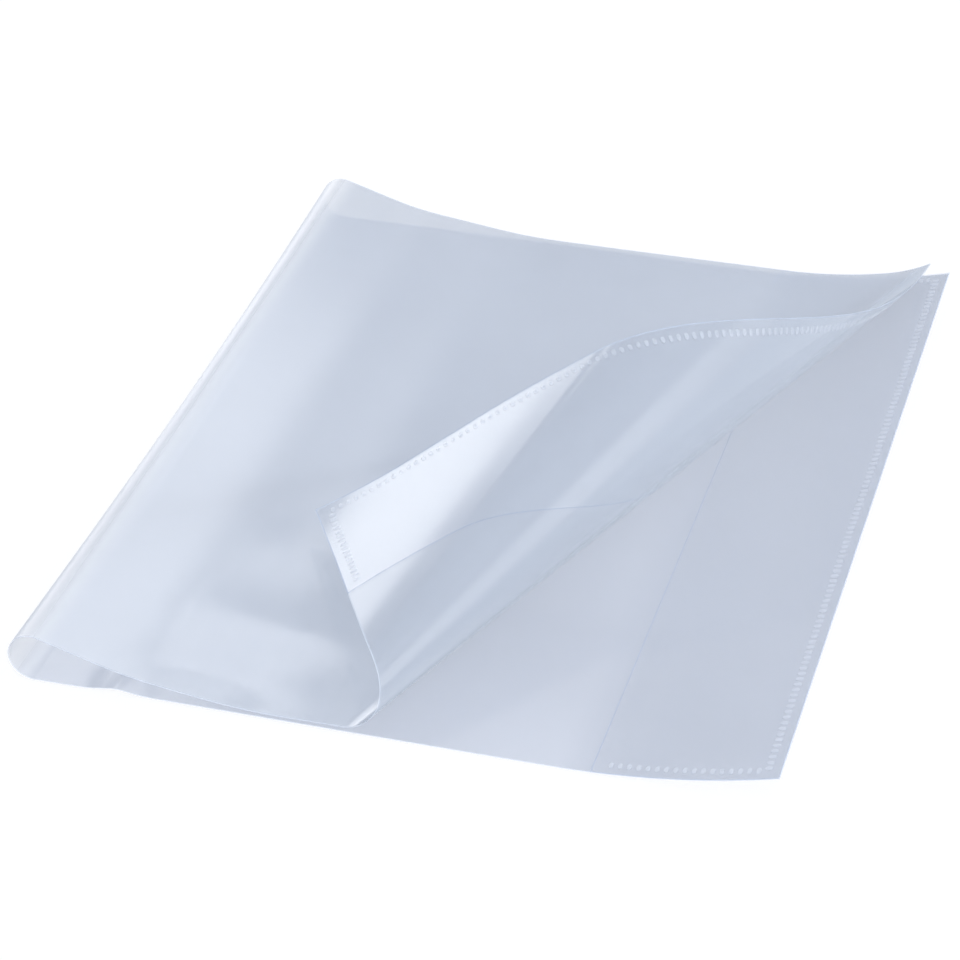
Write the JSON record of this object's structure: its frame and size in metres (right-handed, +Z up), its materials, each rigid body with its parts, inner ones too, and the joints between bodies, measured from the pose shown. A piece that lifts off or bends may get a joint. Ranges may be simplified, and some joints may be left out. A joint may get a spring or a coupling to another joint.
{
  "type": "exercise book cover",
  "caption": "Clear film cover for an exercise book, lying closed: a sheet bent round a soft spine loop, pocket strips welded inside its outer edges, the front corner rolled back.",
  "frame": {"origin": "on the underside of the back panel, in the middle of its flat part and half-way up the cover", "axes": "+X from the spine to the outer edges, +Y along the spine to the far edge, +Z up from the table"},
  "size_m": [0.1754, 0.2234, 0.0438],
  "materials": {
    "cover_film": "clear smooth polypropylene film",
    "pocket_film": "clear smooth polypropylene film, welded"
  },
  "bodies": {
    "back_panel": {"back_panel": "cover_film", "back_pocket": "pocket_film"},
    "spine_strip_1": {"spine_strip_1": "cover_film"},
    "spine_strip_2": {"spine_strip_2": "cover_film"},
    "spine_strip_3": {"spine_strip_3": "cover_film"},
    "spine_strip_4": {"spine_strip_4": "cover_film"},
    "spine_strip_5": {"spine_strip_5": "cover_film"},
    "front_panel": {"upper_slope_strip": "cover_film", "lower_slope_strip": "cover_film", "front_panel": "cover_film", "pocket_far_end": "pocket_film", "lift_strip_1": "cover_film", "pocket_lift_1": "pocket_film", "lift_strip_2": "cover_film", "pocket_lift_2": "pocket_film"},
    "roll_strip_1": {"roll_strip_1": "cover_film", "pocket_strip_1": "pocket_film"},
    "roll_strip_2": {"roll_strip_2": "cover_film", "pocket_strip_2": "pocket_film"},
    "roll_strip_3": {"roll_strip_3": "cover_film", "pocket_strip_3": "pocket_film"},
    "roll_strip_4": {"roll_strip_4": "cover_film", "pocket_strip_4": "pocket_film"},
    "roll_strip_5": {"roll_strip_5": "cover_film", "pocket_strip_5": "pocket_film"},
    "roll_strip_6": {"roll_strip_6": "cover_film", "pocket_strip_6": "pocket_film"},
    "roll_strip_7": {"roll_strip_7": "cover_film", "pocket_strip_7": "pocket_film"},
    "corner_flap": {"corner_flap": "cover_film", "pocket_corner": "pocket_film"}
  },
  "joints": [
    {"name": "spine_bend_1", "type": "hinge", "parent": "back_panel", "child": "spine_strip_1", "pos_m": [-0.06172, -0.1115, 0.00006], "axis": [0, -1, 0], "range_deg": [0, 29.4], "stiffness_Nm_per_rad": 0.0121},
    {"name": "spine_bend_2", "type": "hinge", "parent": "spine_strip_1", "child": "spine_strip_2", "pos_m": [-0.06461, -0.1115, 0.00192], "axis": [0, -1, 0], "range_deg": [0, 29.4], "stiffness_Nm_per_rad": 0.0121},
    {"name": "spine_bend_3", "type": "hinge", "parent": "spine_strip_2", "child": "spine_strip_3", "pos_m": [-0.06602, -0.1115, 0.00506], "axis": [0, -1, 0], "range_deg": [0, 29.4], "stiffness_Nm_per_rad": 0.0121},
    {"name": "spine_bend_4", "type": "hinge", "parent": "spine_strip_3", "child": "spine_strip_4", "pos_m": [-0.06552, -0.1115, 0.00846], "axis": [0, -1, 0], "range_deg": [0, 29.4], "stiffness_Nm_per_rad": 0.0121},
    {"name": "spine_bend_5", "type": "hinge", "parent": "spine_strip_4", "child": "spine_strip_5", "pos_m": [-0.06325, -0.1115, 0.01104], "axis": [0, -1, 0], "range_deg": [0, 29.4], "stiffness_Nm_per_rad": 0.0121},
    {"name": "spine_bend_6", "type": "hinge", "parent": "spine_strip_5", "child": "front_panel", "pos_m": [-0.05994, -0.1115, 0.01198], "axis": [0, -1, 0], "range_deg": [0, 29.4], "stiffness_Nm_per_rad": 0.0121},
    {"name": "roll_bend_1", "type": "hinge", "parent": "front_panel", "child": "roll_strip_1", "pos_m": [0.01503, -0.11149, 0.00188], "axis": [0.3531, 0.9354, 0.0181], "range_deg": [0, 23.38], "stiffness_Nm_per_rad": 0.0111},
    {"name": "roll_bend_2", "type": "hinge", "parent": "roll_strip_1", "child": "roll_strip_2", "pos_m": [0.01755, -0.11131, 0.0036], "axis": [0.3888, 0.9201, 0.047], "range_deg": [0, 23.38], "stiffness_Nm_per_rad": 0.0111},
    {"name": "roll_bend_3", "type": "hinge", "parent": "roll_strip_2", "child": "roll_strip_3", "pos_m": [0.01928, -0.11084, 0.00609], "axis": [0.41, 0.9078, 0.0888], "range_deg": [0, 23.38], "stiffness_Nm_per_rad": 0.0111},
    {"name": "roll_bend_4", "type": "hinge", "parent": "roll_strip_3", "child": "roll_strip_4", "pos_m": [0.02003, -0.10996, 0.00892], "axis": [0.4129, 0.9005, 0.1365], "range_deg": [0, 23.38], "stiffness_Nm_per_rad": 0.0111},
    {"name": "roll_bend_5", "type": "hinge", "parent": "roll_strip_4", "child": "roll_strip_5", "pos_m": [0.01981, -0.10862, 0.01167], "axis": [0.3973, 0.8994, 0.1823], "range_deg": [0, 23.38], "stiffness_Nm_per_rad": 0.0111},
    {"name": "roll_bend_6", "type": "hinge", "parent": "roll_strip_5", "child": "roll_strip_6", "pos_m": [0.01877, -0.10682, 0.01392], "axis": [0.3656, 0.9048, 0.2186], "range_deg": [0, 23.38], "stiffness_Nm_per_rad": 0.0111},
    {"name": "roll_bend_7", "type": "hinge", "parent": "roll_strip_6", "child": "roll_strip_7", "pos_m": [0.01722, -0.10462, 0.01539], "axis": [0.3231, 0.9156, 0.2392], "range_deg": [0, 23.38], "stiffness_Nm_per_rad": 0.0111},
    {"name": "roll_bend_8", "type": "hinge", "parent": "roll_strip_7", "child": "corner_flap", "pos_m": [0.01553, -0.10213, 0.01592], "axis": [0.277, 0.9302, 0.2407], "range_deg": [0, 23.38], "stiffness_Nm_per_rad": 0.0111}
  ]
}
